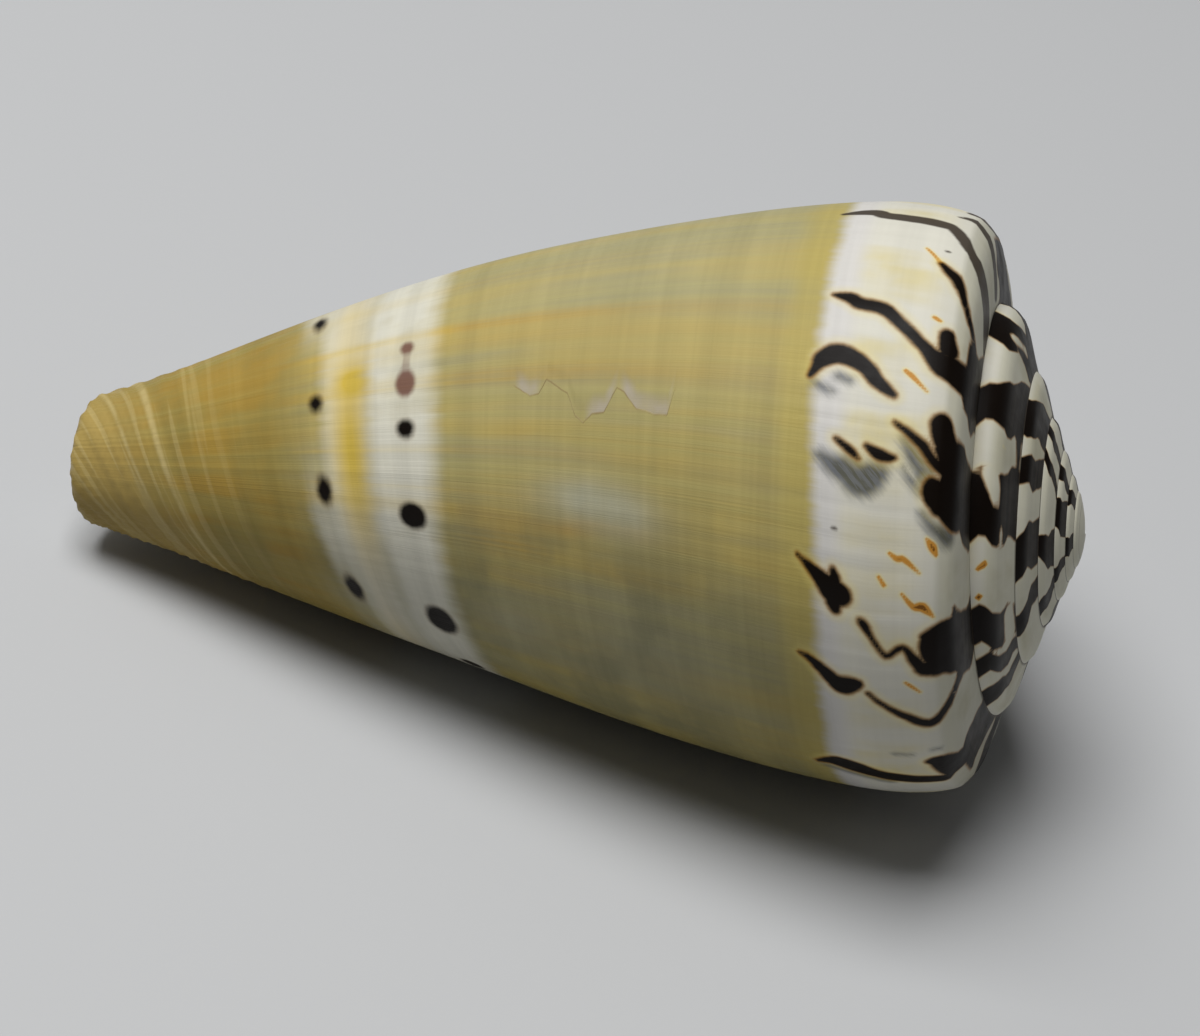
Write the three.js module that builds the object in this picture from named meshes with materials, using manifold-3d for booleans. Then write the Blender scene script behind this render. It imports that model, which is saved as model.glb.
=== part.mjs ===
// Cone shell: the empty, right-handed shell of a sea snail, grown as one piece.
// A tube wound round the axis widens by the same factor in each turn. The last turn
// covers most of the earlier ones, which show only as the low stepped spire.
//
// Winding frame: the apex is at the origin, the axis runs along -X to the tip of the
// base, and the angle of a point is 0 at -Y and 90 degrees at +Z, where growth is heading.
// The finished mesh is then turned so that the shell lies on its mouth side.

import * as THREE from "three";
import { mergeVertices } from "three/addons/utils/BufferGeometryUtils.js";
import Module from "manifold-3d";

const { degToRad, lerp, smoothstep } = THREE.MathUtils;

// ---- Driving dimensions, in millimetres and degrees ----

const length = 72; // from the apex to the tip of the base, along the axis
const growthPerTurn = 1.397; // size of a turn over the size of the one before it
const turns = 7; // from the first turn of the spire to the lip
const lipAngle = 185; // where growth stopped
const startAngle = lipAngle - 360; // where the last turn begins, just past the lip

// The exposed ramp of the turn at angle 0: how far down the axis, how far from it.
const suture = new THREE.Vector2(5.82, 13.68); // the seam with the turn before
const outerSuture = suture.clone().multiplyScalar(growthPerTurn); // the seam with the next
const ramp = new THREE.SplineCurve([
  suture,
  new THREE.Vector2(6.13, 14.69),
  new THREE.Vector2(6.47, 15.8),
  new THREE.Vector2(6.84, 17.06),
  new THREE.Vector2(7.31, 18.2),
  outerSuture,
]);

// The side of the turn at angle 0, below the shoulder.
const sideRadius = 21.73; // the side carried straight on up to the apex
const sideSlope = 0.069; // how fast it narrows at first
const sideBend = 0.00258; // how much faster it narrows with each millimetre down
const shoulderDrop = 1.89; // how far the shoulder is rounded off at the seam
const shoulderReach = 3.6; // how far down the side the rounding reaches

// Either side of the mouth the last turn widens more slowly, so the mouth is narrow.
const steadyAngle = 100; // the full rate holds from minus this angle to plus this angle
const slowerRate = 0.6; // share of the full rate beyond it
const steadyTop = 10; // the slower rate sets in between these distances from the apex
const steadyEnd = 22;

// The base, where the side runs out on the column that the turns are wound on.
const baseStart = 38; // from here to the tip the turn widens less and less
const baseEase = 0.78; // share of the widening that is gone at the tip
const columnRadius = 5; // the column where it comes out of the side
const tipRadius = 4.2; // and at the tip
const columnEnd = 66; // the column narrows from here to the tip
const blend = 1.2; // how softly the side meets the column
const rimRound = 0.9; // rounding of the rim at the tip

// The siphon's notch, between the lip and the start of the last turn.
const notchRadius = 1.7; // the column beside the notch, at the tip
const notchStart = 54; // distance from the apex where the column begins to thin
const notchSweep = 95; // degrees in which it rises from the notch to its full size

// The mouth: a long narrow slit between the lip and the turn below it, and the hollow inside.
const lipWall = 1.1; // thickness of the shell at the lip
const deepWall = 2.3; // and well inside
const lipBow = 6; // degrees by which the middle of the lip stands forward of its ends
const bowStart = 12; // distance from the apex where the lip begins to bow
const hollowSweep = 230; // degrees that the hollow is followed inwards
const hollowClosing = 40; // degrees in which its deep end closes
const hollowTop = 10.8; // the hollow's upper end, for the turn at angle 0
const leastGap = 0.5; // the hollow's width where it closes
const cutterSweep = 14; // degrees that the cutter runs on past the lip
const cutterLift = 3; // how far it has risen off the shell there
const cutterGap = 0.15; // how far it stays off the shell at the lip itself
const cutterOverrun = 1.5; // how far it runs on past the tip

// How the shell lies: rolled about its axis until its mouth is down, then tipped towards
// the tip, so that it touches with its lip and with the side past the mouth.
const restRoll = -31.65;
const restTilt = -12.67;

// Steps of the faceted solid.
const stepsPerTurn = 60;
const rampRows = 4;
const sideRows = 24;
const hollowSteps = 32;
const hollowRows = 16;

// ---- Shape of the shell ----

const growth = (angle) => growthPerTurn ** (angle / 360);

// A point of the winding frame.
function windingPoint(down, radius, angle) {
  const turned = degToRad(angle);
  return [-down, -radius * Math.cos(turned), radius * Math.sin(turned)];
}

// The angle whose growth the side shows at this place.
function sideAngle(down, angle) {
  const beyond = Math.max(Math.abs(angle) - steadyAngle, 0);
  const slower = angle - (1 - slowerRate) * Math.sign(angle) * beyond;
  const steadied = lerp(angle, slower, smoothstep(down, steadyTop, steadyEnd));
  return steadied * (1 - baseEase * smoothstep(down, baseStart, length));
}

function sideRadiusAt(down, angle) {
  const scale = growth(sideAngle(down, angle));
  const place = down / scale;
  const drop = shoulderDrop * Math.exp((outerSuture.x - place) / shoulderReach);
  return scale * (sideRadius - sideSlope * place - sideBend * place * place - drop);
}

// The outside below the shoulder: the side or the column, whichever is wider, thinned
// beside the notch and rounded at the rim.
function outsideRadius(down, angle) {
  const side = sideRadiusAt(down, angle);
  const column = lerp(columnRadius, tipRadius, smoothstep(down, columnEnd, length));
  const wider = 0.5 * (side + column + Math.hypot(side - column, blend));
  const besideNotch = 1 - smoothstep(angle, startAngle, startAngle + notchSweep);
  const thinned = besideNotch * smoothstep(down, notchStart, length);
  const intoRim = Math.max(1 - (length - down) / rimRound, 0);
  const rounding = rimRound * (1 - Math.sqrt(1 - intoRim * intoRim));
  return lerp(wider, notchRadius, thinned) - rounding * (1 - 0.7 * thinned);
}

// How far the lip's edge, and each growth line, stands forward at this place.
function bow(down) {
  const share = (down - bowStart) / (length - bowStart);
  return lipBow * Math.sin(Math.PI * Math.min(Math.max(share, 0), 1));
}

// ---- Building the solids ----

// Collects points and outward faces.
class Surface {
  points = [];
  faces = [];

  point(down, radius, angle) {
    return this.points.push(windingPoint(down, radius, angle)) - 1;
  }

  triangle(a, b, c) {
    this.faces.push(a, b, c);
  }

  // Joins two neighbouring columns of points.
  strip(column, next) {
    for (let row = 0; row < column.length - 1; row++) {
      this.triangle(column[row], next[row + 1], column[row + 1]);
      this.triangle(column[row], next[row], next[row + 1]);
    }
  }

  geometry() {
    const geometry = new THREE.BufferGeometry();
    const position = new THREE.Float32BufferAttribute(this.points.flat(), 3);
    geometry.setAttribute("position", position);
    geometry.setIndex(this.faces);
    return geometry;
  }
}

// The ramps of all turns. A turn's outer seam is the next turn's inner seam.
function addRamps(surface) {
  const columns = [];
  for (let step = 0; step <= turns * stepsPerTurn; step++) {
    const angle = lipAngle - turns * 360 + (step * 360) / stepsPerTurn;
    const column = [];
    for (let row = 0; row <= rampRows; row++) {
      if (row === 0 && step >= stepsPerTurn) {
        column.push(columns[step - stepsPerTurn][rampRows]);
        continue;
      }
      const place = ramp.getPoint(row / rampRows).multiplyScalar(growth(angle));
      column.push(surface.point(place.x, place.y, angle));
    }
    if (step > 0) surface.strip(columns[step - 1], column);
    columns.push(column);
  }
  return columns;
}

// The side of the last turn, hung from the outer edge of its ramp.
function addSide(surface, ramps) {
  const columns = [];
  for (let step = 0; step <= stepsPerTurn; step++) {
    const angle = startAngle + (step * 360) / stepsPerTurn;
    const top = outerSuture.x * growth(angle);
    const column = [ramps[(turns - 1) * stepsPerTurn + step][rampRows]];
    for (let row = 1; row <= sideRows; row++) {
      const even = row / sideRows;
      const closerAtEnds = lerp(even, 0.5 - 0.5 * Math.cos(Math.PI * even), 0.7);
      const down = lerp(top, length, closerAtEnds);
      const radius = outsideRadius(down, angle);
      column.push(surface.point(down, radius, angle + bow(down)));
    }
    if (step > 0) surface.strip(columns[step - 1], column);
    columns.push(column);
  }
  return columns;
}

// The whole outside, with the mouth still filled up to the lip's edge.
function buildOutside() {
  const surface = new Surface();
  const ramps = addRamps(surface);
  const sides = addSide(surface, ramps);

  // The step at the lip, down to the turn below it.
  const lipRamp = ramps[turns * stepsPerTurn];
  const lipSide = sides[stepsPerTurn];
  const below = sides[0];
  for (let row = 0; row < rampRows; row++)
    surface.triangle(lipRamp[row], below[0], lipRamp[row + 1]);
  surface.strip(lipSide, below);

  // The end of the base, and the blunt apex.
  const baseCentre = surface.point(length, 0, 0);
  for (let step = 0; step < stepsPerTurn; step++)
    surface.triangle(sides[step][sideRows], sides[step + 1][sideRows], baseCentre);
  surface.triangle(lipSide[sideRows], below[sideRows], baseCentre);

  const apex = surface.point(0, 0, 0);
  for (let step = 0; step < stepsPerTurn; step++)
    surface.triangle(apex, ramps[step + 1][0], ramps[step][0]);
  for (let row = 0; row < rampRows; row++)
    surface.triangle(apex, ramps[0][row], ramps[0][row + 1]);
  return surface.geometry();
}

// The hollow's wall nearer the axis (near) and its wall under the outside (far).
function hollowRadii(down, angle) {
  const place = Math.min(down, length - rimRound);
  const depth = (lipAngle - angle) / hollowSweep;
  const wall = lerp(lipWall, deepWall, smoothstep(depth, 0, 0.3));
  const baseWall = lerp(wall, lipWall, smoothstep(place, baseStart, length));
  const pastLip = Math.max(angle - lipAngle, 0) / cutterSweep;
  const lift = cutterGap + cutterLift * pastLip;
  const near = outsideRadius(place, angle - 360) + lift;
  const far = outsideRadius(place, angle) - baseWall;
  const deepEnd = lipAngle - hollowSweep;
  const open = smoothstep(angle, deepEnd, deepEnd + hollowClosing);
  return { near, far: near + Math.max((far - near) * open, leastGap) };
}

function buildHollow() {
  const surface = new Surface();
  const columns = [];
  for (let step = 0; step <= hollowSteps + 1; step++) {
    const inside = lipAngle - hollowSweep * (1 - step / hollowSteps);
    const angle = step > hollowSteps ? lipAngle + cutterSweep : inside;
    const top = hollowTop * growth(angle);
    const near = [];
    const far = [];
    for (let row = 0; row <= hollowRows; row++) {
      const down = lerp(top, length + cutterOverrun, row / hollowRows);
      const radii = hollowRadii(down, angle);
      near.push(surface.point(down, radii.near, angle + bow(down)));
      far.push(surface.point(down, radii.far, angle + bow(down)));
    }
    const loop = [...far, ...near.reverse(), far[0]];
    if (step > 0) surface.strip(columns[step - 1], loop);
    columns.push(loop);
  }
  closeEnd(surface, columns[0], false);
  closeEnd(surface, columns.at(-1), true);
  return surface.geometry();
}

// Closes one end of the hollow across its two walls.
function closeEnd(surface, loop, facesForward) {
  const far = loop.slice(0, hollowRows + 1);
  const near = loop.slice(hollowRows + 1, -1).reverse();
  if (facesForward) surface.strip(far, near);
  else surface.strip(near, far);
}

// ---- Joining and cutting ----

const wasm = await Module();
wasm.setup();

function solidOf(geometry) {
  return new wasm.Manifold(
    new wasm.Mesh({
      numProp: 3,
      vertProperties: geometry.getAttribute("position").array,
      triVerts: new Uint32Array(geometry.index.array),
    }),
  );
}

function geometryOf(solid) {
  const { vertProperties, triVerts } = solid.getMesh();
  const geometry = new THREE.BufferGeometry();
  geometry.setAttribute("position", new THREE.BufferAttribute(vertProperties, 3));
  geometry.setIndex(new THREE.BufferAttribute(triVerts, 1));
  return mergeVertices(geometry, 2e-3);
}

const shellSolid = solidOf(buildOutside()).subtract(solidOf(buildHollow()));
const shell = new THREE.Mesh(
  geometryOf(shellSolid),
  new THREE.MeshStandardMaterial({ color: 0xc9b98a, roughness: 0.35, metalness: 0 }),
);
shell.name = "cone_shell";

// ---- Laying the shell down, over the origin and on the ground ----

shell.rotation.set(degToRad(restRoll), degToRad(restTilt), 0, "YXZ");
const box = new THREE.Box3().setFromObject(shell, true);
const middle = box.getCenter(new THREE.Vector3());
shell.position.set(-middle.x, -middle.y, -box.min.z);

const model = new THREE.Group();
model.add(shell);
export default model;
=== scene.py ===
import random
from math import copysign, cos, exp, hypot, pi, radians, sin, sqrt
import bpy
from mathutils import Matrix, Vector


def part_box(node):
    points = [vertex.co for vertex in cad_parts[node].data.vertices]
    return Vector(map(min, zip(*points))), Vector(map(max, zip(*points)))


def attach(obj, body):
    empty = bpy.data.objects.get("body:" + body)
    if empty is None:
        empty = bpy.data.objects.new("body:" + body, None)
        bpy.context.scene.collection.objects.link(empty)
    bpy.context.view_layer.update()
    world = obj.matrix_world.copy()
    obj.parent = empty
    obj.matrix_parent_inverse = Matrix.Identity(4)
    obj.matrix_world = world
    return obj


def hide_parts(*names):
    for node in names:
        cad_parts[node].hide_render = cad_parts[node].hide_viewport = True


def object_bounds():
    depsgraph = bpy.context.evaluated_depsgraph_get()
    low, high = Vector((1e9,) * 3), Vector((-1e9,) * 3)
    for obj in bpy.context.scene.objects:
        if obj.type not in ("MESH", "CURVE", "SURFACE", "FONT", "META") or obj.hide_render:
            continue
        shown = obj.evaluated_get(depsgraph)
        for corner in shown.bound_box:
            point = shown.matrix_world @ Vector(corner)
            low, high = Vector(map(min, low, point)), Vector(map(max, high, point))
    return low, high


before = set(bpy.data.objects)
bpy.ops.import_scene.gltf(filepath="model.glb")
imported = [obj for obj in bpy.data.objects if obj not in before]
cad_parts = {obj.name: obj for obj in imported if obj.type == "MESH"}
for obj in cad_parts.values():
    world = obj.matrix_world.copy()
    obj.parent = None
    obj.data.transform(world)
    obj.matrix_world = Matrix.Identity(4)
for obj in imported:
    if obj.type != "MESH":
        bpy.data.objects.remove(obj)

from types import SimpleNamespace

import bmesh
import bpy
import numpy as np
from mathutils import Matrix, Vector, noise

# A cone shell lying on its side, grown round its axis the way the snail made it.
# While it grows, sizes are millimetres and degrees: the apex is at the origin, the axis
# runs along -X to the tip, angle 0 looks along -Y, 90 along +Z, and growth goes that way.
# "place" is the distance down the axis for the turn at angle 0, so a colour band keeps it.

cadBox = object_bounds()
print("frame loaded, box", [tuple(round(c, 4) for c in corner) for corner in cadBox])

shell = {
    "length": 72.0,
    "growthPerTurn": 1.397,
    "turns": 7,
    "lipAngle": 185.0,
    # the ramp between two seams, for the turn at angle 0: down the axis, out from it
    "ramp": [(5.82, 13.68), (6.13, 14.69), (6.47, 15.8), (6.84, 17.06), (7.31, 18.2), (8.131, 19.111)],
    "sideRadius": 21.73,
    "sideSlope": 0.069,
    "sideBend": 0.00258,
    "shoulderDrop": 1.89,
    "shoulderReach": 3.6,
    # the last turn was laid a little further down the turn before, most of all at the front
    "slip": 0.95,
    "slipFrom": -110,
    "slipFull": 20,
    "slipFade": 60,
    "slipEnd": 170,
    # the last turn widens more slowly either side of the mouth
    "steadyAngle": 100,
    "slowerRate": 0.6,
    "steadyTop": 10,
    "steadyEnd": 22,
    "baseStart": 38,
    "baseEase": 0.78,
    # the column at the tip, and the siphon's notch
    "columnRadius": 5.0,
    "tipRadius": 4.2,
    "columnEnd": 66,
    "blend": 1.2,
    "rimRound": 0.9,
    "rimShare": 0.7,
    "notchRadius": 1.7,
    "notchStart": 54,
    "notchSweep": 95,
    "lipBow": 6,
    "bowStart": 12,
    # how closely the surface follows: steps in a turn, rows on a ramp
    "stepsPerTurn": 360,
    "rampRows": 10,
    # rows down the side, from one place to the next, and from the last place to the tip
    "sideRows": [(8.131, 17, 28), (17, 42, 26), (42, 52, 26)],
    "tipRows": 48,
}
shell["startAngle"] = shell["lipAngle"] - 360

# small unevenness, in millimetres at angle 0
relief = {
    "seamWander": 0.14,
    "stages": 0.11,
    "growthLines": 0.035,
    "rampStages": 0.07,
    "cords": 0.16,
    "cordSpacing": 1.35,
    "cordStart": 57,
    "cordFull": 67,
    "rimChips": 0.28,
}


def lerp(a, b, share):
    return a + (b - a) * share


def smoothstep(value, low, high):
    share = min(max((value - low) / (high - low), 0), 1)
    return share * share * (3 - 2 * share)


def growth(angle):
    return shell["growthPerTurn"] ** (angle / 360)


def windingPoint(down, radius, angle):
    turned = radians(angle)
    return Vector((-down, -radius * cos(turned), radius * sin(turned)))


def sideAngle(down, angle):
    s = shell
    beyond = max(abs(angle) - s["steadyAngle"], 0)
    slower = angle - (1 - s["slowerRate"]) * copysign(beyond, angle)
    steadied = lerp(angle, slower, smoothstep(down, s["steadyTop"], s["steadyEnd"]))
    return steadied * (1 - s["baseEase"] * smoothstep(down, s["baseStart"], s["length"]))


def sideOutline(place):
    s = shell
    drop = s["shoulderDrop"] * exp((s["ramp"][-1][0] - place) / s["shoulderReach"])
    return s["sideRadius"] - s["sideSlope"] * place - s["sideBend"] * place * place - drop


def outsideRadius(down, angle):
    s = shell
    scale = growth(sideAngle(down, angle))
    side = scale * sideOutline(down / scale)
    column = lerp(s["columnRadius"], s["tipRadius"], smoothstep(down, s["columnEnd"], s["length"]))
    wider = 0.5 * (side + column + hypot(side - column, s["blend"]))
    besideNotch = 1 - smoothstep(angle, s["startAngle"], s["startAngle"] + s["notchSweep"])
    thinned = besideNotch * smoothstep(down, s["notchStart"], s["length"])
    intoRim = min(max(1 - (s["length"] - down) / s["rimRound"], 0), 1)
    rounding = s["rimRound"] * (1 - sqrt(1 - intoRim * intoRim))
    return lerp(wider, s["notchRadius"], thinned) - rounding * (1 - s["rimShare"] * thinned)


def bow(down):
    share = (down - shell["bowStart"]) / (shell["length"] - shell["bowStart"])
    return shell["lipBow"] * sin(pi * min(max(share, 0), 1))


def between(before, start, end, after, t):
    # a smooth curve from start to end, leaning on the points either side
    bend = 2 * before - 5 * start + 4 * end - after
    return 0.5 * (2 * start + (end - before) * t + bend * t**2 + (after - before + 3 * (start - end)) * t**3)


def rampPoint(share):
    outline = [Vector(point) for point in shell["ramp"]]
    last = len(outline) - 1
    span = min(int(share * last), last - 1)
    before, start, end, after = (outline[min(max(span + k, 0), last)] for k in (-1, 0, 1, 2))
    return between(before, start, end, after, share * last - span)


rampArc = [0.0]
arcSteps = 60
for k in range(arcSteps):
    step = rampPoint((k + 1) / arcSteps) - rampPoint(k / arcSteps)
    rampArc.append(rampArc[-1] + step.length)


def rampReach(share):
    # distance from the shoulder's edge: negative on the ramp, positive past it
    if share > 1:
        return (share - 1) * rampArc[-1]
    k = min(int(share * arcSteps), arcSteps - 1)
    return lerp(rampArc[k], rampArc[k + 1], share * arcSteps - k) - rampArc[-1]


def turnOutline(share):
    # the ramp, and past its shoulder the start of the side
    if share <= 1:
        return rampPoint(share)
    place = shell["ramp"][-1][0] + rampReach(share)
    return Vector((place, sideOutline(place)))


def uncovered(angle):
    # how much of its side a turn leaves bare under the next one, as a share of the ramp
    above = angle + 360
    rise = smoothstep(above, shell["slipFrom"], shell["slipFull"])
    slip = shell["slip"] * rise * (1 - smoothstep(above, shell["slipFade"], shell["slipEnd"]))
    return slip / growth(angle) / rampArc[-1]


def seamWander(angle):
    # a seam is shared by two turns, so both ask with the angle of the inner one
    return relief["seamWander"] * growth(angle) * noise.noise((angle * 0.06, 3.1, 0))


def sideRelief(down, angle, place):
    away = smoothstep(place, 8.2, 11)
    stages = relief["stages"] * noise.noise((angle * 0.05, place * 0.045, 0))
    lines = relief["growthLines"] * noise.noise((angle * 0.55, place * 0.03, 7))
    wandering = place + 0.5 * noise.noise((angle * 0.012, place * 0.4, 4))
    ridge = (0.5 + 0.5 * cos(2 * pi * wandering / relief["cordSpacing"])) ** 2
    cords = relief["cords"] * ridge * smoothstep(place, relief["cordStart"], relief["cordFull"])
    return away * (stages + lines) + cords


def tipDown(angle):
    # the worn rim: shallow chips all round the tip
    chips = noise.noise((cos(radians(angle)) * 1.7, sin(radians(angle)) * 1.7, 2)) + 0.6 * noise.noise(
        (cos(radians(angle)) * 5, sin(radians(angle)) * 5, 9)
    )
    return shell["length"] - relief["rimChips"] * min(max(0.5 + chips, 0), 1.4)


sidePlaces = [lerp(a, b, k / rows) for a, b, rows in shell["sideRows"] for k in range(rows)]
sidePlaces.append(shell["sideRows"][-1][1])
lastRow = len(sidePlaces) - 1 + shell["tipRows"]


def sideDown(row, angle):
    if row < len(sidePlaces):
        return sidePlaces[row] * growth(angle)
    share = (row - len(sidePlaces) + 1) / shell["tipRows"]
    return lerp(sidePlaces[-1] * growth(angle), tipDown(angle), share)


# Every point below comes from one of these rules: where row and angle put it, the angle and
# the reach that its colour is found by. Reach is 0 at the shoulder's edge, grows down the
# side and is negative on the ramp.
def rampRule(row, angle):
    share = row / shell["rampRows"]
    along = share * (1 + uncovered(angle))
    laidOn = turnOutline(1 + uncovered(angle - 360)) / shell["growthPerTurn"]
    outline = turnOutline(along) + (laidOn - rampPoint(0)) * (1 - share) ** 2
    down, radius = outline * growth(angle)
    radius += lerp(seamWander(angle - 360), seamWander(angle), share)
    uneven = relief["rampStages"] * growth(angle) * noise.noise((angle * 0.11, share * 1.5, 5))
    down -= uneven * sin(pi * share)
    return windingPoint(down, radius, angle), angle, rampReach(along)


def sideRule(row, angle):
    if row == 0:
        point = rampRule(shell["rampRows"], angle)[0]
        return point, angle, 0.0
    down = sideDown(row, angle)
    place = down / growth(angle)
    radius = outsideRadius(min(down, shell["length"]), angle)
    radius += sideRelief(down, angle, place) * growth(angle)
    radius += seamWander(angle) * exp(-(place - sidePlaces[0]) / 1.5)
    turned = angle + bow(down)
    return windingPoint(down, radius, turned), angle, place - sidePlaces[0]


# the hollow: its far wall under the outside, its near wall over the turn before
hollow = {
    "lipWall": 1.1,
    "deepWall": 2.3,
    "wallDepth": 0.3,  # share of the sweep in which the wall reaches its full thickness
    "sweep": 230,
    "closing": 40,
    "top": 10.8,
    "leastGap": 0.5,
    "steps": 26,
    "lipRound": 0.32,
    "lipRows": 5,
}
hollowTop = hollow["top"] * growth(shell["lipAngle"])
ceilingRow = next(row for row in range(lastRow) if sideDown(row, shell["lipAngle"]) > hollowTop)
floorRow = next(row for row in range(lastRow) if sideDown(row, shell["startAngle"]) > hollowTop)


def hollowDown(row, angle, firstRow, edgeAngle):
    # the rows of the edge, squeezed under the ceiling as it comes down the spire
    edgeTop = sideDown(firstRow, edgeAngle)
    edgeTip = sideDown(lastRow, edgeAngle)
    inward = shell["lipAngle"] - angle if edgeAngle > 0 else shell["startAngle"] - angle
    top = edgeTop * growth(-inward)
    tip = tipDown(angle)
    return lerp(top, tip, (sideDown(row, edgeAngle) - edgeTop) / (edgeTip - edgeTop))


def nearRule(row, angle):
    down = hollowDown(row, angle, floorRow, shell["startAngle"])
    radius = outsideRadius(min(down, shell["length"] - shell["rimRound"]), angle)
    turned = angle + bow(down)
    return windingPoint(down, radius, turned), angle, down / growth(angle) - sidePlaces[0]


def farRadius(down, angle):
    h = hollow
    down = min(down, shell["length"] - shell["rimRound"])
    depth = (shell["lipAngle"] - angle) / h["sweep"]
    wall = lerp(h["lipWall"], h["deepWall"], smoothstep(depth, 0, h["wallDepth"]))
    wall = lerp(wall, h["lipWall"], smoothstep(down, shell["baseStart"], shell["length"]))
    near = outsideRadius(down, angle - 360)
    far = outsideRadius(down, angle) - wall
    deepEnd = shell["lipAngle"] - h["sweep"]
    opened = smoothstep(angle, deepEnd, deepEnd + h["closing"])
    return near + max((far - near) * opened, h["leastGap"])


def farRule(row, angle):
    down = hollowDown(row, angle, ceilingRow, shell["lipAngle"])
    turned = angle + bow(down)
    return windingPoint(down, farRadius(down, angle), turned), angle, down / growth(angle) - sidePlaces[0]


def lipRule(row, share):
    # the edge of the lip, rounded from the outside to the inside
    angle = shell["lipAngle"]
    down = sideDown(row, angle)
    radius = lerp(sideRuleRadius(row, angle), farRadius(down, angle), share)
    forward = hollow["lipRound"] * sin(pi * share)
    turned = angle + bow(down) + forward / radius * 180 / pi
    return windingPoint(down, radius, turned), angle, down / growth(angle) - sidePlaces[0]


def sideRuleRadius(row, angle):
    point = sideRule(row, angle)[0]
    return hypot(point.y, point.z)


class Grower:
    # keeps the bmesh and its layers, and extrudes a chain of edges step by step
    def __init__(self):
        self.bm = bmesh.new()
        self.row = self.bm.verts.layers.int.new("row")
        self.angle = self.bm.verts.layers.float.new("angle")
        self.reach = self.bm.verts.layers.float.new("reach")

    def put(self, vert, rule, angle):
        vert.co, vert[self.angle], vert[self.reach] = rule(vert[self.row], angle)

    def outline(self, rows, rule, angle):
        verts = []
        for row in range(rows + 1):
            vert = self.bm.verts.new()
            vert[self.row] = row
            self.put(vert, rule, angle)
            verts.append(vert)
        return [self.bm.edges.new(pair) for pair in zip(verts, verts[1:])]

    def grow(self, edges, rule, angles, finish):
        # returns the last chain, and the runs of edges that its first and last points drew
        before = len(self.bm.faces)
        chains = [edges]
        for angle in angles:
            made = bmesh.ops.extrude_edge_only(self.bm, edges=edges)["geom"]
            verts = {item for item in made if isinstance(item, bmesh.types.BMVert)}
            for vert in verts:
                self.put(vert, rule, angle)
            edges = [e for e in made if isinstance(e, bmesh.types.BMEdge) and set(e.verts) <= verts]
            chains.append(edges)
        self.bm.faces.ensure_lookup_table()
        for face in self.bm.faces[before:]:
            face.material_index = finish
        return chains


def rowOf(grower, edge):
    return min(vert[grower.row] for vert in edge.verts)


def pointsOf(grower, chain):
    return {vert[grower.row]: vert for edge in chain for vert in edge.verts}


def edgeRun(grower, chains, row):
    # the edges that join the points of one row from chain to chain
    points = [pointsOf(grower, chain)[row] for chain in chains]
    return [grower.bm.edges.get(pair) for pair in zip(points, points[1:])]


def growShell():
    grower = Grower()
    bm = grower.bm
    perTurn = shell["stepsPerTurn"]
    firstAngle = shell["lipAngle"] - shell["turns"] * 360

    ramp = grower.outline(shell["rampRows"], rampRule, firstAngle)
    rampAngles = [firstAngle + 360 * k / perTurn for k in range(1, shell["turns"] * perTurn + 1)]
    grower.grow(ramp, rampRule, rampAngles, 0)
    for edge in bm.edges:
        rows = {vert[grower.row] for vert in edge.verts}
        covered = max(vert[grower.angle] for vert in edge.verts) <= shell["startAngle"]
        if rows == {0} or rows == {shell["rampRows"]} and covered:
            edge.smooth = False
    print("spire grown,", len(bm.faces), "faces")

    start = grower.outline(lastRow, sideRule, shell["startAngle"])
    sideAngles = [shell["startAngle"] + 360 * k / perTurn for k in range(1, perTurn + 1)]
    sides = grower.grow(start, sideRule, sideAngles, 0)
    print("side grown,", len(bm.faces), "faces")

    # over the lip's edge, then back into the hollow along both of its walls
    lip = [edge for edge in sides[-1] if rowOf(grower, edge) >= ceilingRow]
    shares = [k / hollow["lipRows"] for k in range(1, hollow["lipRows"] + 1)]
    lipTurn = grower.grow(lip, lipRule, shares, 1)
    inward = [hollow["sweep"] * k / hollow["steps"] for k in range(1, hollow["steps"] + 1)]
    far = grower.grow(lipTurn[-1], farRule, [shell["lipAngle"] - back for back in inward], 1)
    below = [edge for edge in start if rowOf(grower, edge) >= floorRow]
    near = grower.grow(below, nearRule, [shell["startAngle"] - back for back in inward], 1)
    ceiling = edgeRun(grower, far, ceilingRow) + edgeRun(grower, near, floorRow)
    roof = bmesh.ops.bridge_loops(bm, edges=ceiling)["faces"]
    for face in roof:
        face.material_index = 1

    # each corner of a face keeps the angle and the reach of its own turn across the seams
    growthMap = bm.loops.layers.uv.new("growthMap")
    for face in bm.faces:
        for loop in face.loops:
            loop[growthMap].uv = (loop.vert[grower.angle], loop.vert[grower.reach])
    bmesh.ops.remove_doubles(bm, verts=bm.verts, dist=1e-3)

    closeApex(bm)
    openEdges = [edge for edge in bm.edges if edge.is_boundary]
    caps = bmesh.ops.holes_fill(bm, edges=openEdges, sides=0)["faces"]
    for face in caps:
        face.material_index = 1
        for loop in face.loops:
            loop[growthMap].uv = capGlazeAt
    bmesh.ops.triangulate(bm, faces=caps, ngon_method="EAR_CLIP")
    refine(bm)
    bmesh.ops.recalc_face_normals(bm, faces=bm.faces)
    print("closed,", len(bm.faces), "faces,", sum(e.is_boundary for e in bm.edges), "open edges")

    mesh = bpy.data.meshes.new("coneShellGrown")
    bm.to_mesh(mesh)
    bm.free()
    mesh.shade_smooth()
    return mesh


# the worn first turn, and what the glaze finds on the small closing faces: angle and reach
apex = {
    "lowest": 2.0,
    "rings": 4,
    "rise": 0.12,
    "weld": 0.02,
    "glazeAt": (-2300, -3),
}
capGlazeAt = (0, 60)


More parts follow.
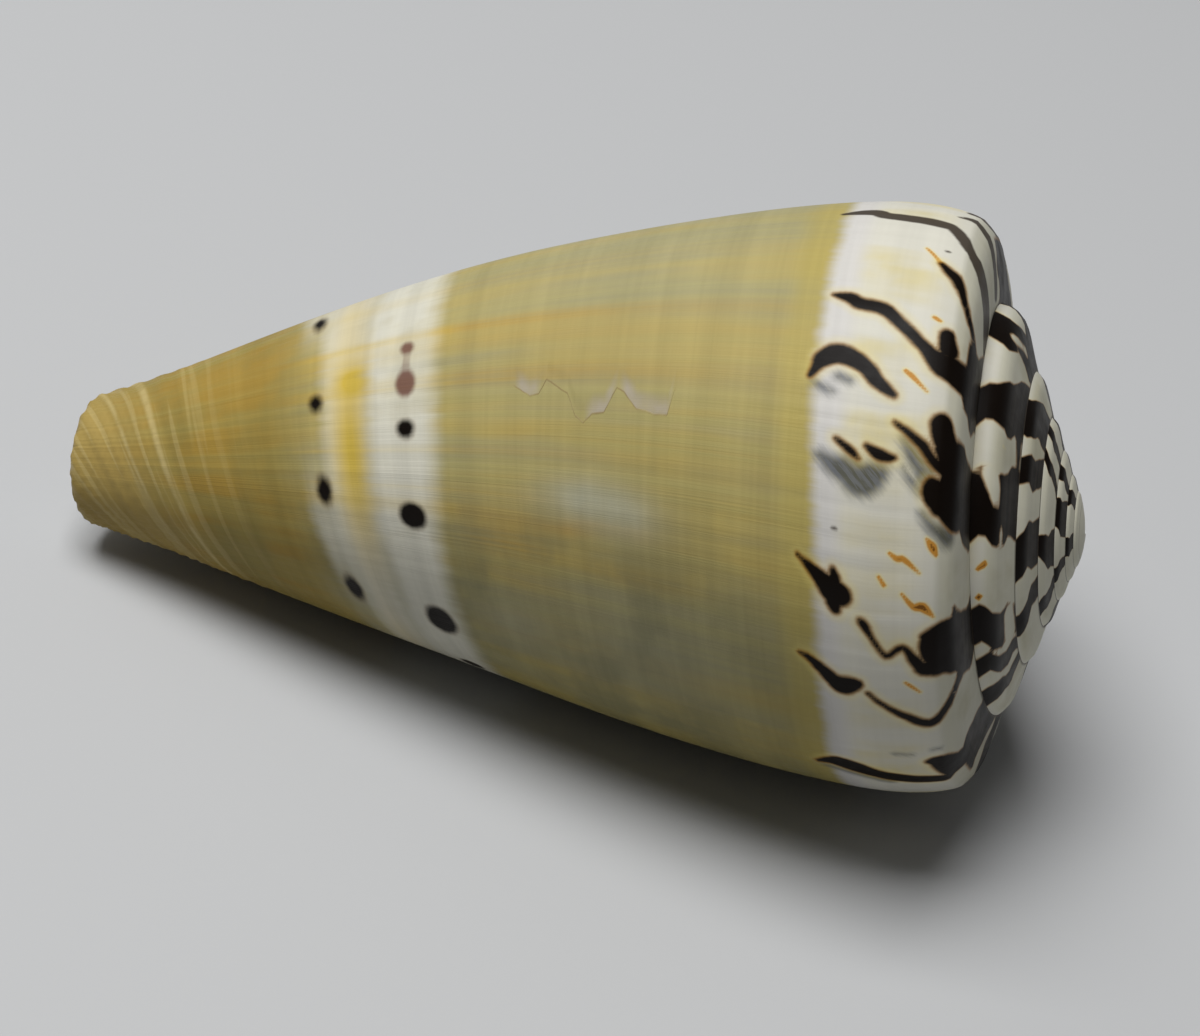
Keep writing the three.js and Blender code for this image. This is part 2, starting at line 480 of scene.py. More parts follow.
def closeApex(bm):
    # its open rim drawn up into a low dome
    rim = []
    for edge in bm.edges:
        if edge.is_boundary and max(-vert.co.x for vert in edge.verts) < apex["lowest"]:
            rim.append(edge)
    growthMap = bm.loops.layers.uv["growthMap"]
    middle = sum((v.co for e in rim for v in e.verts), Vector()) / (2 * len(rim))
    rings = apex["rings"]
    before = len(bm.faces)
    for k in range(1, rings + 1):
        made = bmesh.ops.extrude_edge_only(bm, edges=rim)["geom"]
        verts = {item for item in made if isinstance(item, bmesh.types.BMVert)}
        shrink = (1 - k / rings) / (1 - (k - 1) / rings)
        rise = apex["rise"] * (rings - k + 0.5) / rings
        for vert in verts:
            vert.co.y *= shrink
            vert.co.z *= shrink
            vert.co.x = lerp(middle.x, vert.co.x, shrink) + rise
        middle.x += rise
        rim = [e for e in made if isinstance(e, bmesh.types.BMEdge) and set(e.verts) <= verts]
    bm.faces.ensure_lookup_table()
    for face in bm.faces[before:]:
        face.material_index = 0
        for loop in face.loops:
            loop[growthMap].uv = apex["glazeAt"]
    bmesh.ops.remove_doubles(bm, verts=list({v for e in rim for v in e.verts}), dist=apex["weld"])


def refine(bm):
    # smaller faces where the fine strokes are
    growthMap = bm.loops.layers.uv["growthMap"]
    edges = set()
    for face in bm.faces:
        corners = [loop[growthMap].uv for loop in face.loops]
        if all(abs(c.x) < marks["fineAngle"] and marks["fineFrom"] < c.y < marks["fineTo"] for c in corners):
            edges.update(face.edges)
    bmesh.ops.subdivide_edges(bm, edges=list(edges), cuts=1, use_grid_fill=True)


# Strokes go through (angle, reach, half width): degrees, then millimetres at angle 0.
marks = {
    # faces are made smaller inside this angle either way, and between these reaches
    "fineAngle": 76,
    "fineFrom": -1.7,
    "fineTo": 9.0,
    "ink": [
        [(53, 1.3, 0.15), (51.5, 0.8, 0.35), (50, 0.25, 0.4), (45, -0.65, 0.3), (42.5, -1.15, 0.3),
         (40, -2, 0.35), (33, -4.2, 0.6)],
        [(41, 7.5, 0.1), (40.5, 6.5, 0.4), (39.5, 5.75, 0.45), (39, 4.3, 0.45), (36.5, 3.2, 0.4),
         (32.5, 1.65, 0.4), (30.5, 1, 0.55), (29, -0.2, 0.95), (28, -2.5, 1.1)],
        [(35.5, 0.3, 0.5), (33, 0.05, 0.65)],
        [(13, 0.15, 0.3), (11, -0.3, 0.45)],
        [(-328, -5, 0.6), (-334, -5.2, 0.45), (-341, -5.4, 0.25)],
        [(23.5, 8.4, 0.15), (25.5, 8, 0.35), (27.5, 7.5, 0.6), (28.5, 6.6, 0.65), (27, 5.2, 0.55),
         (24, 4.1, 0.45), (22, 3.1, 0.2)],
        [(12.5, 6.5, 0.1), (12, 6.2, 0.2), (10.5, 5.4, 0.2), (9.5, 5, 0.1)],
        [(12, 4.5, 0.15), (11, 3.85, 0.35), (10.5, 3.2, 0.3), (10.5, 2.8, 0.15)],
        [(17, 2.9, 0.1), (16, 2.4, 0.2), (13.5, 1.2, 0.3), (10.5, 0.35, 0.3), (9.5, -0.3, 0.5)],
        [(17.5, 0, 0.8), (15, -0.3, 0.85), (12.5, -0.9, 0.85), (7, -1.4, 1.4), (4, -1.2, 1.55),
         (1.5, -1.6, 1.2)],
        [(7, 0.45, 0.3), (5, 0.2, 0.8), (3, -0.2, 0.8)],
        [(-9.5, 8.7, 0.1), (-12, 7.6, 0.4), (-15, 6.4, 0.8), (-15.5, 6, 0.75), (-16, 5.7, 0.45)],
        [(-11, 6.4, 0.2), (-13, 6.3, 0.4), (-16.5, 6.4, 0.5), (-18.5, 6.25, 0.3)],
        [(-19.5, 4.75, 0.1), (-20.5, 4.45, 0.3), (-23.5, 3.85, 0.15), (-26.5, 3.1, 0.2), (-25, 2.3, 0.2),
         (-25, 1.85, 0.2), (-28, 1.2, 0.35), (-29.5, 0.7, 0.5), (-29, -0.4, 0.8)],
        [(-22.5, 0.75, 0.2), (-23, 0.1, 0.75), (-25, -0.8, 1.75), (-26.5, -1.9, 2)],
        [(-29, 8.8, 0.1), (-30, 8, 0.3), (-33.5, 6.7, 0.5), (-34.5, 6.1, 0.7), (-34, 5.5, 0.6),
         (-33.5, 5, 0.3)],
        [(-35.5, 4.4, 0.15), (-38.5, 3.3, 0.2), (-42, 1.7, 0.3), (-43.5, 0.9, 0.35), (-43.5, 0.3, 0.35),
         (-40, -1, 0.35), (-35.5, -2.6, 0.5), (-34, -4.5, 0.7)],
        [(-61.5, 8.9, 0.2), (-60, 7.9, 0.5), (-60, 6.8, 0.85), (-63, 4.5, 0.75), (-66, 1.5, 0.7),
         (-67.5, 0.3, 0.7)],
        [(-57, 1, 0.25), (-57.5, 0.3, 0.7), (-60.5, -0.3, 1), (-64, -1, 1.3)],
    ],
    # thinner glaze over a mark: brown-grey
    "faded": [
        [(69, 8.1, 0.2), (70, 6.9, 0.5), (70, 6, 0.6), (68.5, 5.1, 0.6), (68, 1.9, 0.6), (67, 1, 0.5),
         (61, -0.3, 0.55), (57, -2.4, 1.1), (54, -4.1, 1.3), (48, -5.5, 1.1)],
        [(75, 1, 0.15), (76, 0.3, 0.4), (76, -0.5, 0.6), (74.5, -2.9, 0.8), (73, -4.6, 0.8)],
        [(82, 0.6, 0.2), (86, 0, 0.8), (91, -0.9, 0.95), (95, -2.2, 0.95), (97, -4, 0.9)],
        [(-3.5, 6.45, 0.08), (-3.5, 6.25, 0.1)],
        [(57.5, 1.15, 0.08), (57.5, 1, 0.08)],
    ],
    "rust": [
        [(57, 2.35, 0.07), (55, 1.8, 0.1), (53, 1.3, 0.13)],
        [(27, 2.55, 0.1), (26, 2.1, 0.15), (23.5, 1.15, 0.05)],
        [(39, 1.2, 0.12), (38.5, 0.85, 0.1)],
        [(-6.5, 2.85, 0.08), (-7.5, 2.35, 0.15), (-7.5, 1.95, 0.15), (-10, 1, 0.06)],
        [(-11, 3.5, 0.1), (-12.5, 3.15, 0.13)],
        [(-14, 2.05, 0.07), (-16.5, 1.3, 0.17), (-16.5, 0.8, 0.3), (-18.5, 0.1, 0.06)],
        [(-3.5, 0.6, 0.06), (-5, 0.25, 0.25), (-6.5, 0, 0.1)],
        [(-32.5, 1.95, 0.07), (-33.5, 1.55, 0.1), (-35, 1.05, 0.06)],
        [(-337, -2, 0.25)],
        [(-370.5, -0.3, 0.3), (-372, 0.5, 0.2)],
        [(-380, 0.3, 0.35)],
    ],
    # blue-grey smears round the old repair, and shadows of the strokes
    "veil": [
        [(22.5, 8.2, 0.25), (21.5, 7.5, 0.3), (21, 6.9, 0.2)],
        [(24, 6.6, 0.35), (23.5, 5.9, 0.3)],
        [(9, 7.4, 0.4), (7.5, 6.4, 0.75), (7, 5.4, 1.1), (6, 4.7, 1.2), (8, 3.7, 0.75)],
        [(14, 2.2, 0.4), (11.5, 1.5, 0.8), (9.5, 0.9, 0.85), (7.5, 0.9, 0.7)],
        [(9, 2.2, 0.2), (6.5, 1.6, 0.3), (5, 1.1, 0.35)],
        [(1, 0.9, 0.3), (-1.5, 0.2, 0.5), (-3, -0.8, 0.8)],
        [(-53, 3.1, 0.12), (-53.5, 2, 0.12)],
        [(-52.5, 0.6, 0.1), (-52.5, 0.1, 0.1)],
        [(-62, 8.5, 0.5), (-64, 6.5, 0.5), (-66.5, 4, 0.5)],
    ],
    # white tongues that run into the dark blocks
    "clear": [
        [(-346, -0.4, 1), (-350, -0.9, 0.9), (-354, -1.3, 0.5)],
        [(-297, -1.2, 0.6), (-292, -2.6, 0.4), (-288, -3.6, 0.5)],
        [(-367, -2.6, 0.3), (-362, -2.4, 0.35), (-360, -2.2, 0.2)],
        [(-392, -4.4, 1.1), (-402, -4.6, 1.2)],
    ],
    # the two rows of spots: angle, half sweep, reach, half height
    "spots": [
        (-76, 4, 36, 0.95), (-49.5, 6, 36, 1.2), (-15, 4, 36, 1.1), (9, 3, 36, 0.7),
        (-46, 6, 42.7, 0.7), (-10, 5.5, 42.7, 0.65), (19.5, 3.5, 42.7, 0.55), (60, 6.5, 42.7, 0.5),
        (95, 8, 42.7, 0.5),
    ],
    "redSpots": [(34, 2.7, 36, 0.55), (22.5, 4.8, 36, 0.8)],
    "redNeck": [[(22, 36, 0.3), (33, 36, 0.2)]],
    # dark blocks on the ramps of the earlier turns: turns back, outer edge from and to,
    # inner edge from and to
    "blocks": [
        (0, -76, -60, -82, -58), (0, -34, -19, -38, -20), (0, -2, 14, -6, 14), (0, 22, 34, 22, 45),
        (1, -66, -55, -70, -62), (1, -48, -40.5, -58, -49.5), (1, -36.5, -24, -45.5, -31),
        (1, -5, 13.5, -5, 20.5), (1, 27, 38, 31.5, 61), (1, 56, 71, 67, 90),
        (2, -50, -38, -38, -25), (2, -20.5, -3.5, -17, 7.5), (2, 15.5, 26, 20.5, 37.5),
        (2, 37.5, 55.5, 44.5, 76),
        (3, -60, -46, -52, -38), (3, -16.5, -5, -30, 0.5), (3, 38, 46.5, 24, 34), (3, 58, 68, 50, 60),
        (4, -45, -30, -36, -24), (4, 2, 24, -9, 30), (4, 42, 58, 40, 52),
        (5, -30, -8, -26, -2), (5, 30, 50, 34, 56),
    ],
    # a block's ragged edge: how far it sways, in degrees, and how fast
    "sway": (1.8, 1.3),
    "ripple": (0.6, 2.9),
    # on the last turn the blocks stop here, and on the spire they may run this far down the side
    "blockTop": -1.6,
    "blockEnd": 3,
}
# what a maker would carry round to the far side: about the same spacing, drawn by chance
farSide = {
    "seed": 11,
    "from": 104,
    "to": 276,
    "strokeEvery": 17,
    "strokeWidth": (0.4, 0.8),
    "strokeLean": (2, 7),
    "strokeTops": [-4, -3, -1, 0.6],
    "strokeEnds": [7.2, 8, 8.6, 4.5],
    "strokePoints": 9,
    "leastWidth": 0.12,
    "dashes": 0.6,  # how many strokes have a rust dash beside them
    "spotRows": [(36, 0.95), (42.7, 0.6)],
    "spotEvery": 33,
    "spotEnd": 265,
    "spotSweep": (3.5, 6),
    "blockTurns": 6,
    "blockFrom": 82,
    "blockEnd": 262,
    "blockEvery": 27,
    "blockWidth": (9, 20),
    "strokeClear": 6,
    "spotClear": 8,
}


def pastLip(angle, clear):
    # past the lip the turn starts again, and what is too near the lip's edge falls off
    return angle if angle <= shell["lipAngle"] - clear else angle - 360


def farStroke(chance, angle):
    width = chance.uniform(*farSide["strokeWidth"])
    lean = chance.uniform(*farSide["strokeLean"])
    stroke = []
    top = chance.choice(farSide["strokeTops"])
    end = chance.choice(farSide["strokeEnds"])
    for k in range(farSide["strokePoints"]):
        share = k / (farSide["strokePoints"] - 1)
        swell = sin(pi * (0.12 + 0.8 * share))
        sway = chance.uniform(-0.8, 0.8)
        halfWidth = farSide["leastWidth"] + width * swell * chance.uniform(0.7, 1.2)
        stroke.append((angle + sway - lean * (1 - share), lerp(top, end, share), halfWidth))
    return stroke


def farDash(chance, angle):
    start = angle + chance.uniform(5, 9)
    low = chance.uniform(0.5, 3)
    return [(start, low, 0.2), (start + 1.5, low + 0.9, 0.25), (start + 2, low + 1.5, 0.18)]


def addFarSide():
    chance = random.Random(farSide["seed"])
    angle = farSide["from"]
    while angle < farSide["to"]:
        turned = pastLip(angle, farSide["strokeClear"])
        marks["ink"].append(farStroke(chance, turned))
        if chance.random() < farSide["dashes"]:
            marks["rust"].append(farDash(chance, turned))
        angle += farSide["strokeEvery"] * chance.uniform(0.7, 1.3)
    for reach, halfHeight in farSide["spotRows"]:
        angle = farSide["from"] + chance.uniform(0, 20)
        while angle < farSide["spotEnd"]:
            halfSweep = chance.uniform(*farSide["spotSweep"])
            turned = pastLip(angle, farSide["spotClear"])
            marks["spots"].append((turned, halfSweep, reach, halfHeight * chance.uniform(0.8, 1.15)))
            angle += farSide["spotEvery"] * chance.uniform(0.8, 1.2)
    for turn in range(farSide["blockTurns"]):
        angle = farSide["blockFrom"] + chance.uniform(0, 10)
        while angle < farSide["blockEnd"]:
            wide = chance.uniform(*farSide["blockWidth"])
            slip = chance.uniform(-6, 3)
            end = angle + wide
            marks["blocks"].append((turn, angle, end, angle + slip, end + chance.uniform(0, 8)))
            angle = end + farSide["blockEvery"] * chance.uniform(0.5, 1)


def smoothed(stroke):
    knots = [Vector(point) for point in stroke]
    knots = [knots[0], *knots, knots[-1]]
    pieces = 4
    curve = []
    for before, start, end, after in zip(knots, knots[1:], knots[2:], knots[3:]):
        curve.extend(between(before, start, end, after, k / pieces) for k in range(pieces))
    return curve + [knots[-1]]


def strokeField(angle, reach, radius, strokes):
    # how far outside the nearest stroke a point lies, in millimetres at angle 0
    field = np.full(angle.shape, 9.0)
    for stroke in strokes:
        stroke = smoothed(stroke)
        ends = stroke[1:] if len(stroke) > 1 else stroke
        low = min(p[1] for p in stroke) - 4
        high = max(p[1] for p in stroke) + 4
        left = min(p[0] for p in stroke) - 20
        right = max(p[0] for p in stroke) + 20
        near = np.flatnonzero((reach > low) & (reach < high) & (angle > left) & (angle < right))
        if not len(near):
            continue
        across = radius[near] * pi / 180
        a, r = angle[near], reach[near]
        best = field[near]
        for start, end in zip(stroke, ends):
            dx, dy = (end[0] - start[0]) * across, end[1] - start[1]
            px, py = (a - start[0]) * across, r - start[1]
            share = np.clip((px * dx + py * dy) / np.maximum(dx * dx + dy * dy, 1e-9), 0, 1)
            away = np.hypot(px - share * dx, py - share * dy) - (start[2] + (end[2] - start[2]) * share)
            best = np.minimum(best, away)
        field[near] = best
    return field


def spotField(angle, reach, radius, spots):
    field = np.full(angle.shape, 9.0)
    for centre, halfSweep, place, halfHeight in spots:
        across = radius * pi / 180
        px = (angle - centre) * across / np.maximum(halfSweep * across, 0.01)
        py = (reach - place) / halfHeight
        field = np.minimum(field, (np.hypot(px, py) - 1) * halfHeight)
    return field


def blockField(angle, reach, radius, blocks):
    # the ramps: which turn a point is on, and how far across it
    field = np.full(angle.shape, 9.0)
    width = rampArc[-1]
    earlier = angle < shell["startAngle"]
    inward = np.clip(-reach / width, 0, 1)
    sway, swayRate = marks["sway"]
    ripple, rippleRate = marks["ripple"]
    onSpire = (reach < 0.01) | (earlier & (reach < marks["blockEnd"]))
    for turn, outerFrom, outerTo, innerFrom, innerTo in blocks:
        centre = -360 * turn
        low = centre + outerFrom + (innerFrom - outerFrom) * inward
        high = centre + outerTo + (innerTo - outerTo) * inward
        ragged = sway * np.sin(reach * swayRate + outerFrom) + ripple * np.sin(reach * rippleRate + outerTo)
        away = np.maximum(low + ragged - angle, angle - high - ragged * 0.8) * radius * pi / 180
        if turn == 0:
            away = np.maximum(away, reach - marks["blockTop"])
        field = np.where(onSpire, np.minimum(field, away), field)
    return field


def bumps(value, places):
    total = np.zeros(value.shape)
    for centre, halfWidth, strength in places:
        total += strength * np.exp(-(((value - centre) / halfWidth) ** 2))
    return total


def patches(angle, reach, spread):
    total = np.zeros(angle.shape)
    for centre, halfSweep, place, halfHeight, strength in spread:
        away = ((angle - centre) / halfSweep) ** 2 + ((reach - place) / halfHeight) ** 2
        total += strength * np.exp(-away)
    return total


# stains along the growth lines: angle, half sweep, strength
stains = {
    "orange": [(38, 1.6, 0.9), (33, 4, 0.45), (22, 2.2, 0.75), (-12, 2.5, 0.55), (3.5, 0.9, 0.5),
               (-7, 1, 0.35), (57, 3, 0.3), (110, 4, 0.5), (131, 3, 0.6), (152, 5, 0.4),
               (170, 2, 0.5), (-110, 4, 0.4), (-135, 3, 0.5), (-160, 3, 0.5), (-88, 3, 0.25)],
    # orange patches beside the worn place: angle, half sweep, reach, half height, strength
    "orangePatches": [(-13.5, 1.8, 25, 1.9, 0.8), (-10.5, 1.3, 22.4, 1.6, 0.8), (-11, 1.2, 20, 1.4, 0.6),
                      (8, 2.5, 27.5, 3, 0.4), (24, 2.2, 22, 9, 0.35),
                      (-18, 4, 29, 3.4, 0.9), (-21, 3, 19, 5, 0.6), (-28, 3, 28, 3, 0.35)],
    # worn bluish patches: angle, half sweep, reach, half height, strength
    "pale": [(-6, 5, 23, 3.4, 0.9), (-9, 5, 20, 2.5, 0.5), (-40, 12, 20, 7, 0.35), (-42, 8, 30, 3, 0.4),
             (-50, 8, 47, 4, 0.45), (60, 30, 20, 12, 0.2), (150, 30, 25, 9, 0.4), (-6, 4, 46.4, 1.4, 0.5)],
    # yellow of the strip between the white bands, in the same way
    "cream": [(2, 30, 40.2, 1.7, 1.0), (26, 5, 38.6, 2.4, 0.8), (60, 30, 40.4, 1.5, 0.35),
              (-70, 20, 40.6, 1.3, 0.3), (150, 40, 40.6, 1.3, 0.5), (-140, 30, 40.6, 1.3, 0.5)],
    # where the lower row of spots stands in white: angle, half sweep, strength
    "lowWhite": [(-28, 20, 1.0), (66, 17, 0.8), (125, 25, 0.8), (-100, 28, 0.8), (-155, 22, 0.8)],
}


# the healed break, down the side: its path by angle and reach, and where grey fills lie beside it
scar = {
    "from": 16.5,
    "to": 28.5,
    "widest": 40,
    "degree": 0.36,  # millimetres in a degree there
    "path": [(18.5, 17.1), (13, 17.5), (13, 18.3), (14, 19.6), (17.5, 20.5), (18.5, 21), (13, 21.8),
             (12.5, 22.6), (10.5, 23.2), (12, 23.8), (17, 24.4), (20.5, 25.9), (17, 26.4), (16.5, 27),
             (19.5, 28.2)],
    "fills": [(17.4, 20.6), (21.2, 22.9), (26.5, 27.9)],
}


def cornerValues(mesh):
    corners = len(mesh.loops)
    uv = np.empty(corners * 2, np.float32)
    mesh.uv_layers["growthMap"].uv.foreach_get("vector", uv)
    angle, reach = uv[0::2].astype(float), uv[1::2].astype(float)
    index = np.empty(corners, np.int32)
    mesh.loops.foreach_get("vertex_index", index)
    co = np.empty(len(mesh.vertices) * 3, np.float32)
    mesh.vertices.foreach_get("co", co)
    co = co.reshape(-1, 3)[index]
    return angle, reach, co


def paint(mesh):
    angle, reach, co = cornerValues(mesh)
    scale = shell["growthPerTurn"] ** (angle / 360)
    radius = np.hypot(co[:, 1], co[:, 2]) / scale
    addFarSide()
    ink = strokeField(angle, reach, radius, marks["ink"])
    ink = np.minimum(ink, spotField(angle, reach, radius, marks["spots"]))
    ink = np.minimum(ink, blockField(angle, reach, radius, marks["blocks"]))
    ink = np.maximum(ink, -strokeField(angle, reach, radius, marks["clear"]))
    red = spotField(angle, reach, radius, marks["redSpots"])
    neck = strokeField(angle, reach, radius, marks["redNeck"])
    fields = {
        "ink": ink,
        "rust": strokeField(angle, reach, radius, marks["rust"]),
        "faded": strokeField(angle, reach, radius, marks["faded"]),
        "veil": strokeField(angle, reach, radius, marks["veil"]),
        "redInk": np.minimum(red, neck),
        "orange": bumps(angle, stains["orange"]) + patches(angle, reach, stains["orangePatches"]),
        "pale": patches(angle, reach, stains["pale"]),
        "cream": patches(angle, reach, stains["cream"]),
        "lowWhite": bumps(angle, stains["lowWhite"]),
    }
    for name, values in fields.items():
        mesh.attributes.new(name, "FLOAT", "CORNER").data.foreach_set("value", values.astype(np.float32))
    print("painted", len(angle), "corners")


tones = {
    "white": (227, 224, 210),
    "lilacWhite": (222, 219, 214),
    "bandWhite": (228, 225, 208),
    "butter": (224, 206, 124),
    "stripYellow": (222, 192, 84),
    "sideYellow": (196, 178, 100),
    "olive": (181, 171, 109),
    "warmOlive": (191, 172, 104),
    "greyOlive": (174, 165, 119),
    "coolOlive": (152, 146, 106),
    "orange": (194, 152, 66),
    "wearAndSheen": (190, 190, 168),
    "ochre": (172, 152, 82),
    "ochreOrange": (174, 144, 68),
    "ochreOlive": (156, 142, 80),
    "tip": (186, 160, 92),
    "cord": (212, 192, 132),
    "ink": (17, 11, 7),
    "inkFringe": (148, 100, 30),
    "faded": (58, 48, 38),
    "rust": (192, 132, 46),
    "rustCore": (96, 56, 18),
    "veil": (86, 90, 96),
    "veilGreen": (58, 60, 52),
    "red": (100, 50, 42),
    "rampWhite": (216, 213, 192),
    # painted sheen over the ink on the ramps
    "rampSheen": (50, 44, 35),
    # painted shade in the crease of each seam
    "seamCreaseShade": (62, 52, 38),
    # painted shadow under the small step at the healed break's edge
    "breakStepShadow": (120, 100, 66),
    "scarFill": (170, 160, 142),
    "mouth": (232, 230, 224),
    "floorPaper": (187, 188, 189),
}


def tone(name):
    linear = [((c / 255 + 0.055) / 1.055) ** 2.4 if c > 10 else c / 255 / 12.92 for c in tones[name]]
    return (*linear, 1)


class Tree:
    # short ways to add and join the nodes of one material
    def __init__(self, name):
        self.material = bpy.data.materials.new(name)
        self.material.use_nodes = True
        self.tree = self.material.node_tree
        self.shader = self.tree.nodes["Principled BSDF"]

    def add(self, kind, values=(), **settings):
        node = self.tree.nodes.new(kind)
        for key, value in settings.items():
            setattr(node, key, value)
        for key, value in dict(values).items():
            if isinstance(value, bpy.types.NodeSocket):
                self.tree.links.new(value, node.inputs[key])
            else:
                node.inputs[key].default_value = value
        return node

    def math(self, operation, a, b=0.0, clamp=False):
        return self.add("ShaderNodeMath", {0: a, 1: b}, operation=operation, use_clamp=clamp).outputs[0]

    def ramp(self, value, low, high, start=0.0, end=1.0, shape="SMOOTHSTEP"):
        ends = {"Value": value, "From Min": low, "From Max": high, "To Min": start, "To Max": end}
        return self.add("ShaderNodeMapRange", ends, interpolation_type=shape).outputs[0]

    def band(self, value, low, high, soft):
        rise = self.ramp(value, low - soft, low + soft)
        fall = self.ramp(value, high - soft, high + soft, 1.0, 0.0)
        return self.math("MULTIPLY", rise, fall)

    def mix(self, factor, a, b, blend="MIX"):
        node = self.add("ShaderNodeMix", data_type="RGBA", blend_type=blend)
        for slot, value in ((0, factor), (6, a), (7, b)):
            if isinstance(value, bpy.types.NodeSocket):
                self.tree.links.new(value, node.inputs[slot])
            else:
                node.inputs[slot].default_value = value
        return node.outputs[2]

    def attribute(self, name):
        return self.add("ShaderNodeAttribute", attribute_name=name).outputs["Fac"]

    def swing(self, value, size):
        # a noise as a shift to both sides
        return self.math("MULTIPLY", self.math("SUBTRACT", value, 0.5), size)

    def noise(self, vector, scale=1.0, detail=2.0, roughness=0.5, dimensions="2D"):
        values = {"Vector": vector, "Scale": scale, "Detail": detail, "Roughness": roughness}
        return self.add("ShaderNodeTexNoise", values, noise_dimensions=dimensions).outputs["Fac"]

    def stretched(self, u, v, alongTurn, alongPlace, shift=0.0):
        a = self.math("MULTIPLY_ADD", u, alongTurn)
        a.node.inputs[2].default_value = shift
        b = self.math("MULTIPLY", v, alongPlace)
        return self.add("ShaderNodeCombineXYZ", {"X": a, "Y": b}).outputs[0]

    def set(self, **values):
        for key, value in values.items():
            socket = self.shader.inputs[key.replace("_", " ")]
            if isinstance(value, bpy.types.NodeSocket):
                self.tree.links.new(value, socket)
            else:
                socket.default_value = value


# where the colours change on the way down, by reach, and how the glaze lies
glaze = {
    "sideStart": (7.2, 8.4),
    "yellowRim": (7.6, 10),
    "whiteBand": (34.2, 39),
    "strip": (38.9, 42),
    "lowSpots": (41.6, 43.9),
    "baseStart": (42, 47),
    "tipStart": (53, 61),
    "mainCords": [(55.4, 55.9, 0.2), (58.1, 58.4, 0.18)],
    "darker": 0.16,
    # how much painted shade darkens the lower side
    "paintedShadeBelow": 0.3,
    "smearSlant": 0.33,  # millimetres a smear drifts in a degree
    "bumpDepth": 0.00012,
}


def surfaceOf(t):
    # what every layer reads: angle u, reach v, and the noises
    uvMap = t.add("ShaderNodeUVMap", uv_map="growthMap")
    split = t.add("ShaderNodeSeparateXYZ", {"Vector": uvMap.outputs[0]})
    u, v = split.outputs["X"], split.outputs["Y"]
    place = t.add("ShaderNodeTexCoord").outputs["Object"]
    s = SimpleNamespace(u=u, v=v)
    # growth streaks run down the shell, spiral threads run round it
    s.streaks = t.noise(t.stretched(u, v, 0.42, 0.014), detail=4, roughness=0.6)
    s.broad = t.noise(t.stretched(u, v, 0.075, 0.035, 40), detail=3)
    s.threads = t.noise(t.stretched(u, v, 0.012, 2.1, 9), detail=3, roughness=0.6)
    s.clouds = t.noise(place, scale=85, detail=4, roughness=0.55, dimensions="3D")
    s.wash = t.noise(place, scale=190, detail=3, roughness=0.6, dimensions="3D")
    s.mottle = t.noise(place, scale=420, detail=4, roughness=0.6, dimensions="3D")
    s.wobble = t.noise(place, scale=900, detail=3, roughness=0.55, dimensions="3D")
    # the wandering edge of every band
    s.edge = t.math("ADD", v, t.swing(s.streaks, 0.7))
    s.edge = t.math("ADD", s.edge, t.swing(s.clouds, 2.0))
    return s


def orangeStain(t, s):
    # stains along the growth lines
    stain = t.math("MULTIPLY", t.attribute("orange"), t.ramp(s.streaks, 0.3, 0.55, 0.4, 1.0))
    stain = t.math("MULTIPLY", stain, t.ramp(s.v, 10, 30, 0.4, 1.0))
    return t.math("MULTIPLY", stain, t.ramp(s.wash, 0.3, 0.55, 0.6, 1.0))


def sideGlaze(t, s, stain):
    # olive between warm and grey
    side = t.mix(t.ramp(s.broad, 0.34, 0.66), tone("greyOlive"), tone("warmOlive"))
    side = t.mix(t.ramp(s.streaks, 0.36, 0.66, 0.0, 0.45), side, tone("olive"))
    cool = t.math("MULTIPLY", t.ramp(s.wash, 0.58, 0.36), t.ramp(s.u, 14, -35, 0.1, 0.65))
    side = t.mix(t.math("MULTIPLY", cool, t.ramp(s.v, 8, 20, 0.4, 1.0)), side, tone("coolOlive"))
    side = t.mix(t.math("MULTIPLY", stain, 0.6, clamp=True), side, tone("orange"))
    pale = t.math("MULTIPLY", t.attribute("pale"), t.ramp(s.wash, 0.3, 0.6, 0.7, 1.0), clamp=True)
    side = t.mix(pale, side, tone("wearAndSheen"))
    rim = t.math("MULTIPLY", t.band(s.edge, *glaze["yellowRim"], 0.9), 0.6)
    return t.mix(rim, side, tone("sideYellow"))


def baseGlaze(t, s):
    # ochre, most orange below the spots, yellower towards the tip, with paler cords
    base = t.mix(t.ramp(s.broad, 0.38, 0.6), tone("ochre"), tone("ochreOrange"))
    base = t.mix(t.ramp(s.wash, 0.62, 0.38, 0.0, 0.6), base, tone("ochreOlive"))
    base = t.mix(t.ramp(s.edge, *glaze["tipStart"], 0.0, 0.85), base, tone("tip"))
    cordNoise = t.noise(t.stretched(s.u, s.v, 0.006, 1.1, 3), detail=2)
    cords = t.math("MULTIPLY", t.ramp(cordNoise, 0.52, 0.62), t.ramp(s.v, 47, 57))
    mainCords = 0.0
    for low, high, soft in glaze["mainCords"]:
        mainCords = t.math("ADD", mainCords, t.band(s.v, low, high, soft), clamp=True)
    mainCords = t.math("MULTIPLY", mainCords, t.ramp(s.mottle, 0.3, 0.55, 0.35, 1.0))
    cords = t.math("MAXIMUM", t.math("MULTIPLY", cords, 0.4), t.math("MULTIPLY", mainCords, 0.75))
    return t.mix(cords, base, tone("cord"))


def whiteBands(t, s, side, stain):
    # the white bands, and the yellow strip between them
    white = t.band(s.edge, *glaze["whiteBand"], 1.1)
    white = t.math("MULTIPLY", white, t.ramp(s.wash, 0.3, 0.55, 0.75, 1.0))
    side = t.mix(white, side, tone("bandWhite"))
    strip = t.mix(t.attribute("cream"), tone("bandWhite"), tone("stripYellow"))
    side = t.mix(t.band(s.edge, *glaze["strip"], 0.9), side, strip)
    low = t.math("MULTIPLY", t.attribute("lowWhite"), t.band(s.edge, *glaze["lowSpots"], 0.7), clamp=True)
    side = t.mix(t.math("MULTIPLY", low, 0.75), side, tone("bandWhite"))
    over = t.math("MULTIPLY", t.math("MULTIPLY", stain, 0.5), t.band(s.v, 33, 44, 1), clamp=True)
    return t.mix(over, side, tone("stripYellow"))


